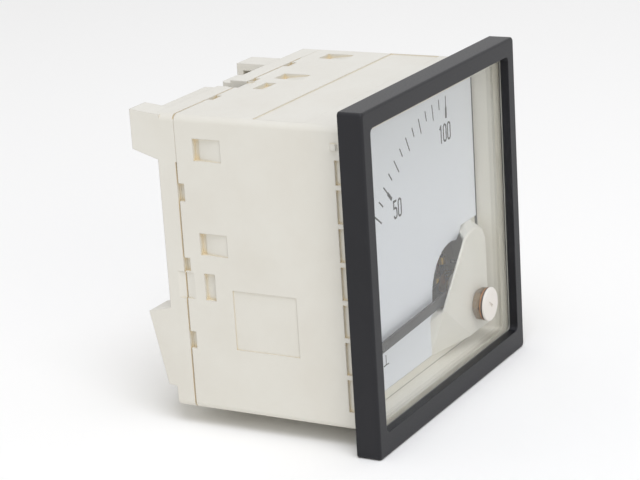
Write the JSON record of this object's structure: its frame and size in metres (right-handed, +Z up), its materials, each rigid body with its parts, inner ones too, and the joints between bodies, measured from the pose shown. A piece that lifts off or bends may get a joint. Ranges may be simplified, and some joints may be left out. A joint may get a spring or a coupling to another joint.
{
  "type": "panel meter",
  "caption": "square moving-coil panel meter with a 90 degree dial, knife-edge pointer, front zero screw, clip-on bezel and rear terminal studs",
  "frame": {"origin": "centre of the bezel's rear face, which seats on the panel", "axes": "+X to the right of the dial, +Y back into the panel, +Z up"},
  "size_m": [0.072, 0.0594, 0.072],
  "materials": {
    "black_plastic": "satin",
    "seal_foam": "matte",
    "window_glass": "polished",
    "white_plastic": "gloss",
    "seal_rubber": "matte",
    "amber_metal": "satin",
    "bush_metal": "satin",
    "cream_plastic": "satin",
    "dial_white": "matte",
    "pointer_black": "matte",
    "brass": "satin",
    "steel": "polished",
    "former_aluminium": "satin",
    "copper_wire": "gloss",
    "spring_bronze": "polished",
    "jewel_red": "polished",
    "magnet": "satin",
    "support_alloy": "matte",
    "soft_iron": "satin",
    "frame_alloy": "matte",
    "nickel": "polished",
    "resistor_lacquer": "gloss",
    "red_insulation": "gloss",
    "blue_insulation": "gloss"
  },
  "bodies": {
    "meter_body": {"bezel": "black_plastic", "window_seal": "seal_foam", "front_window": "window_glass", "zero_screw_seal": "seal_rubber", "zero_screw_ring": "amber_metal", "zero_screw_bush": "bush_metal", "case": "cream_plastic", "rear_cover": "cream_plastic", "chassis": "cream_plastic", "movement_cover": "cream_plastic", "dial_plate": "dial_white", "front_bridge": "frame_alloy", "front_jewel_screw": "brass", "front_jewel": "jewel_red", "front_lock_nut": "brass", "bridge_screw": "steel", "core_magnet": "magnet", "core_supports": "support_alloy", "return_ring": "soft_iron", "stop_pins": "steel", "movement_frame": "frame_alloy", "movement_screws": "steel", "rear_bridge": "frame_alloy", "rear_bridge_screws": "steel", "rear_jewel_screw": "brass", "rear_jewel": "jewel_red", "rear_lock_nut": "brass", "terminal_studs": "brass", "terminal_inner_nuts": "brass", "solder_tags": "nickel", "terminal_washers": "nickel", "terminal_nuts": "brass", "series_resistor": "resistor_lacquer", "positive_lead": "red_insulation", "negative_lead": "blue_insulation"},
    "moving_coil": {"pointer": "pointer_black", "balance_weights": "brass", "front_staff": "brass", "front_pivot": "steel", "rear_staff": "brass", "rear_pivot": "steel", "coil_former": "former_aluminium", "coil_winding": "copper_wire", "front_hairspring": "spring_bronze", "rear_hairspring": "spring_bronze"},
    "zero_adjuster": {"zero_screw": "white_plastic"},
    "zero_regulator": {"zero_lever": "nickel"}
  },
  "joints": [
    {"name": "pointer_deflection", "type": "hinge", "parent": "meter_body", "child": "moving_coil", "pos_m": [0.0162, 0.0146, -0.016], "axis": [0, 1, 0], "range_deg": [-0.8, 95.3], "stiffness_Nm_per_rad": 0.00003, "deforming": ["front_hairspring", "rear_hairspring"]},
    {"name": "zero_screw_turn", "type": "hinge", "parent": "meter_body", "child": "zero_adjuster", "pos_m": [0.0227, -0.002, -0.0219], "axis": [0, 1, 0], "range_deg": [-40, 40]},
    {"name": "zero_lever_swing", "type": "hinge", "parent": "meter_body", "child": "zero_regulator", "pos_m": [0.0162, 0.0023, -0.016], "axis": [0, 1, 0], "range_deg": [-4, 4]}
  ],
  "couplings": [
    {"joint": "zero_lever_swing", "follows": "zero_screw_turn", "ratio": 0.0905}
  ]
}
